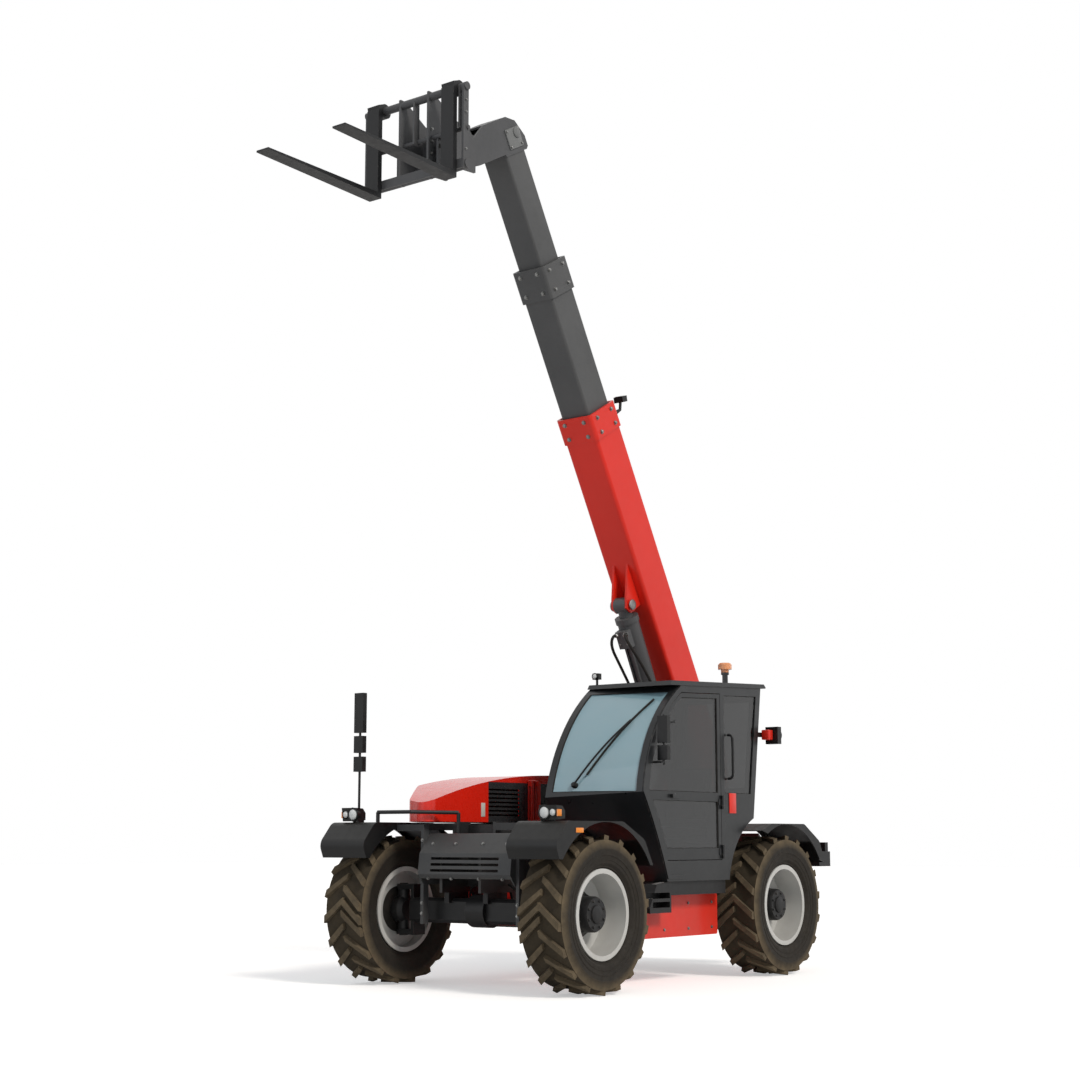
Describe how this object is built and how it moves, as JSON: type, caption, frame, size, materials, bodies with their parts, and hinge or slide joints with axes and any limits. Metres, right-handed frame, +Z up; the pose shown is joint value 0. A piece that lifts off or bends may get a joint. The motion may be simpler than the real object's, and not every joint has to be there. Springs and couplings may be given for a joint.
{
  "type": "telehandler",
  "caption": "Telescopic handler with a raised two-stage boom, pallet forks, side cab and four steered wheels; lifts and reaches with palletised loads.",
  "frame": {"origin": "on the ground, under the middle of the whole machine's bounding box", "axes": "+X forward, towards the forks; +Y to the machine's left, the cab side; +Z up"},
  "size_m": [5.7336, 2.325, 7.0647],
  "materials": {
    "red_paint": "semi-gloss",
    "grey_paint": "satin",
    "black_paint": "satin",
    "engine_iron": "satin",
    "rim_paint": "satin",
    "tyre_rubber": "matte",
    "black_plastic": "matte",
    "cab_glass": "clear",
    "rod_chrome": "polished",
    "seat_cover": "matte",
    "amber_lens": "clear"
  },
  "bodies": {
    "chassis": {"beacon": "amber_lens", "cab_roof": "black_paint", "cab_shell": "black_paint", "cab_step": "black_paint", "cab_windows": "cab_glass", "chassis_frame": "red_paint", "counterweight": "black_paint", "engine": "engine_iron", "engine_panels": "black_plastic", "front_axle": "black_paint", "front_cover": "grey_paint", "front_fenders": "black_plastic", "guard_tube": "black_paint", "lamps": "black_plastic", "mirrors": "black_plastic", "rear_axle": "black_paint", "rear_fenders": "black_plastic", "seat": "seat_cover", "side_box": "red_paint", "steering_column": "black_paint", "windscreen": "cab_glass"},
    "boom_base_body": {"boom_base": "red_paint", "boom_lamp": "black_plastic"},
    "boom_mid_body": {"boom_mid": "grey_paint"},
    "boom_inner_body": {"boom_inner": "grey_paint", "boom_head": "grey_paint"},
    "carriage": {"fork_frame": "grey_paint", "fork_left": "black_paint", "fork_right": "black_paint"},
    "lift_barrel_body": {"lift_barrel": "grey_paint"},
    "lift_rod_body": {"lift_rod": "rod_chrome"},
    "tilt_barrel_body": {"tilt_barrel": "grey_paint"},
    "tilt_rod_body": {"tilt_rod": "rod_chrome"},
    "door": {"door_panel": "black_paint", "door_glass": "cab_glass", "door_mirror": "black_plastic"},
    "bonnet_lid": {"bonnet": "red_paint"},
    "wheel_front_left": {"rim_front_left": "rim_paint", "tyre_front_left": "tyre_rubber"},
    "steer_front_left": {"knuckle_front_left": "black_paint"},
    "wheel_front_right": {"rim_front_right": "rim_paint", "tyre_front_right": "tyre_rubber"},
    "steer_front_right": {"knuckle_front_right": "black_paint"},
    "wheel_rear_left": {"rim_rear_left": "rim_paint", "tyre_rear_left": "tyre_rubber"},
    "steer_rear_left": {"knuckle_rear_left": "black_paint"},
    "wheel_rear_right": {"rim_rear_right": "rim_paint", "tyre_rear_right": "tyre_rubber"},
    "steer_rear_right": {"knuckle_rear_right": "black_paint"}
  },
  "joints": [
    {"name": "boom_lift", "type": "hinge", "parent": "chassis", "child": "boom_base_body", "pos_m": [-2.38678, -0.08, 1.85], "axis": [0, -1, 0], "range_deg": [-64, 10]},
    {"name": "boom_extend", "type": "slide", "parent": "boom_base_body", "child": "boom_mid_body", "axis": [0.5, 0, 0.866], "range_m": [-0.95, 1.2]},
    {"name": "boom_extend_inner", "type": "slide", "parent": "boom_mid_body", "child": "boom_inner_body", "axis": [0.5, 0, 0.866], "range_m": [-0.95, 1.2]},
    {"name": "fork_tilt", "type": "hinge", "parent": "boom_inner_body", "child": "carriage", "pos_m": [1.11578, -0.08, 6.53661], "axis": [0, 1, 0], "range_deg": [-79, 50]},
    {"name": "lift_barrel_pin", "type": "hinge", "parent": "boom_base_body", "child": "lift_barrel_body", "pos_m": [-1.233, -0.08, 3.1584], "axis": [0, -1, 0], "range_deg": [-2.71, 17.36]},
    {"name": "lift_rod_slide", "type": "slide", "parent": "lift_barrel_body", "child": "lift_rod_body", "axis": [-0.4631, 0, -0.8863], "range_m": [-0.71555, 0.11197]},
    {"name": "tilt_barrel_pin", "type": "hinge", "parent": "boom_inner_body", "child": "tilt_barrel_body", "pos_m": [0.4826, -0.08, 6.95991], "axis": [0, 1, 0], "range_deg": [-0.5, 0.79]},
    {"name": "tilt_rod_slide", "type": "slide", "parent": "tilt_barrel_body", "child": "tilt_rod_body", "axis": [0.9139, 0, -0.406], "range_m": [-0.12668, 0.08025]},
    {"name": "steer_front", "type": "hinge", "parent": "chassis", "child": "steer_front_left", "pos_m": [0.78822, 0.82, 0.58], "axis": [0, 0, 1], "range_deg": [-28, 28]},
    {"name": "steer_front_right", "type": "hinge", "parent": "chassis", "child": "steer_front_right", "pos_m": [0.78822, -0.82, 0.58], "axis": [0, 0, 1], "range_deg": [-28, 28]},
    {"name": "steer_rear", "type": "hinge", "parent": "chassis", "child": "steer_rear_left", "pos_m": [-1.86178, 0.82, 0.58], "axis": [0, 0, 1], "range_deg": [-28, 28]},
    {"name": "steer_rear_right", "type": "hinge", "parent": "chassis", "child": "steer_rear_right", "pos_m": [-1.86178, -0.82, 0.58], "axis": [0, 0, 1], "range_deg": [-28, 28]},
    {"name": "roll_front_left", "type": "hinge", "parent": "steer_front_left", "child": "wheel_front_left", "pos_m": [0.78822, 0.96, 0.58], "axis": [0, 1, 0], "continuous": true},
    {"name": "roll_front_right", "type": "hinge", "parent": "steer_front_right", "child": "wheel_front_right", "pos_m": [0.78822, -0.96, 0.58], "axis": [0, 1, 0], "continuous": true},
    {"name": "roll_rear_left", "type": "hinge", "parent": "steer_rear_left", "child": "wheel_rear_left", "pos_m": [-1.86178, 0.96, 0.58], "axis": [0, 1, 0], "continuous": true},
    {"name": "roll_rear_right", "type": "hinge", "parent": "steer_rear_right", "child": "wheel_rear_right", "pos_m": [-1.86178, -0.96, 0.58], "axis": [0, 1, 0], "continuous": true},
    {"name": "door_hinge", "type": "hinge", "parent": "chassis", "child": "door", "pos_m": [-1.02678, 1.044, 1.2], "axis": [0, 0, 1], "range_deg": [0, 85]},
    {"name": "bonnet_hinge", "type": "hinge", "parent": "chassis", "child": "bonnet_lid", "pos_m": [-0.53678, -0.323, 1.6], "axis": [-1, 0, 0], "range_deg": [0, 55]}
  ],
  "couplings": [
    {"joint": "boom_extend_inner", "follows": "boom_extend", "ratio": 1},
    {"joint": "lift_barrel_pin", "follows": "boom_lift", "ratio": -0.27063},
    {"joint": "lift_rod_slide", "follows": "boom_lift", "m_per_rad": 0.63914},
    {"joint": "tilt_barrel_pin", "follows": "fork_tilt", "ratio": -0.01},
    {"joint": "tilt_rod_slide", "follows": "fork_tilt", "m_per_rad": 0.09155},
    {"joint": "steer_front_right", "follows": "steer_front", "ratio": 1},
    {"joint": "steer_rear_right", "follows": "steer_rear", "ratio": 1}
  ]
}
